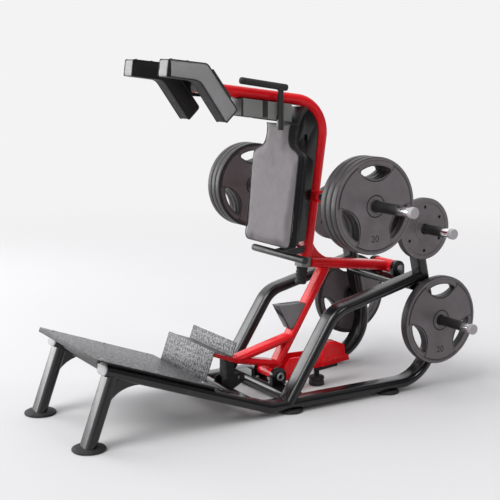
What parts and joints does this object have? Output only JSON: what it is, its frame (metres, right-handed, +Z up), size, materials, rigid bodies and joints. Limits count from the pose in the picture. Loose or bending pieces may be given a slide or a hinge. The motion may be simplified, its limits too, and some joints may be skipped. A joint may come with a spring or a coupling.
{
  "type": "lever squat machine",
  "caption": "Plate-loaded lever squat machine with a sloping foot platform, shoulder and back pads on a hinged carriage, a lock pedal and plate storage horns.",
  "frame": {"origin": "on the floor, on the centre plane, under the middle of the overall length", "axes": "+Z up, +Y from the foot platform towards the hinge at the rear, +X to the left hand of a user who stands facing away from the back pad, the side with the handle. Left and right in node names are as seen from the front"},
  "size_m": [1.716, 2.177, 1.662],
  "materials": {
    "black_paint": "semi-gloss black powder coat",
    "red_paint": "gloss red paint",
    "chromed_steel": "polished chrome",
    "black_rubber": "matt black rubber",
    "grip_rubber": "ribbed black rubber sleeve",
    "plate_rubber": "moulded dark grey rubber over iron",
    "checker_plate": "raised tear pattern, brushed",
    "dark_upholstery": "matt dark grey vinyl",
    "grey_upholstery": "matt grey vinyl",
    "grey_housing": "satin grey"
  },
  "bodies": {
    "frame": {"base_rail_left": "black_paint", "base_rail_right": "black_paint", "rear_post_left": "black_paint", "rear_post_right": "black_paint", "upright_rail_left": "black_paint", "upright_rail_right": "black_paint", "front_leg_left": "black_paint", "front_leg_right": "black_paint", "foot_front_left": "black_rubber", "foot_front_right": "black_rubber", "foot_mid_left": "black_rubber", "foot_mid_right": "black_rubber", "foot_rear_left": "black_rubber", "foot_rear_right": "black_rubber", "pillow_block_left": "black_paint", "pillow_block_right": "black_paint", "horn_small_left": "chromed_steel", "horn_small_right": "chromed_steel", "horn_big_left": "chromed_steel", "horn_big_right": "chromed_steel", "front_cross_tube": "black_paint", "mid_cross_tube": "black_paint", "base_cross_tube": "black_paint", "rear_cross_tube": "black_paint", "foot_platform": "checker_plate", "kick_plate": "checker_plate", "pedal_rest": "black_rubber", "stop_channel": "red_paint", "stop_foot": "black_rubber", "stop_pad": "black_rubber", "lock_bracket": "black_paint"},
    "carriage": {"carriage_spine": "red_paint", "lever_beam": "red_paint", "corner_block": "grey_housing", "rubber_bumper": "black_rubber", "horn_work_left": "chromed_steel", "horn_work_right": "chromed_steel", "shoulder_pad_left": "dark_upholstery", "shoulder_pad_right": "dark_upholstery", "pad_bracket": "black_paint", "back_pad": "grey_upholstery", "back_board": "black_paint", "pad_carrier": "black_paint", "lower_bar": "black_paint", "top_housing": "grey_housing", "side_handle": "grip_rubber"},
    "lock": {"lock_frame": "red_paint", "pedal_plate": "checker_plate", "strut_block": "grey_housing"},
    "work_plates_left": {"work_plate_left_1": "plate_rubber", "work_plate_left_2": "plate_rubber", "work_plate_left_3": "plate_rubber"},
    "small_plate_left": {"small_plate_left": "plate_rubber"},
    "big_plate_left": {"big_plate_left": "plate_rubber"},
    "work_plates_right": {"work_plate_right_1": "plate_rubber", "work_plate_right_2": "plate_rubber", "work_plate_right_3": "plate_rubber"},
    "small_plate_right": {"small_plate_right": "plate_rubber"},
    "big_plate_right": {"big_plate_right": "plate_rubber"}
  },
  "joints": [
    {"name": "carriage_pivot", "type": "hinge", "parent": "frame", "child": "carriage", "pos_m": [0, 0.8245, 0.588], "axis": [1, 0, 0], "range_deg": [0, 17]},
    {"name": "lock_pivot", "type": "hinge", "parent": "frame", "child": "lock", "pos_m": [0, 0.0855, 0.112], "axis": [1, 0, 0], "range_deg": [-32.3, 0]},
    {"name": "work_plates_slide_left", "type": "slide", "parent": "carriage", "child": "work_plates_left", "axis": [-1, 0, 0], "range_m": [0, 0.26]},
    {"name": "small_plate_slide_left", "type": "slide", "parent": "frame", "child": "small_plate_left", "axis": [-1, 0, 0], "range_m": [0, 0.2]},
    {"name": "big_plate_slide_left", "type": "slide", "parent": "frame", "child": "big_plate_left", "axis": [-1, 0, 0], "range_m": [0, 0.23]},
    {"name": "work_plates_slide_right", "type": "slide", "parent": "carriage", "child": "work_plates_right", "axis": [1, 0, 0], "range_m": [0, 0.26]},
    {"name": "small_plate_slide_right", "type": "slide", "parent": "frame", "child": "small_plate_right", "axis": [1, 0, 0], "range_m": [0, 0.2]},
    {"name": "big_plate_slide_right", "type": "slide", "parent": "frame", "child": "big_plate_right", "axis": [1, 0, 0], "range_m": [0, 0.23]}
  ],
  "couplings": [
    {"joint": "lock_pivot", "follows": "carriage_pivot", "ratio": -1.9}
  ]
}
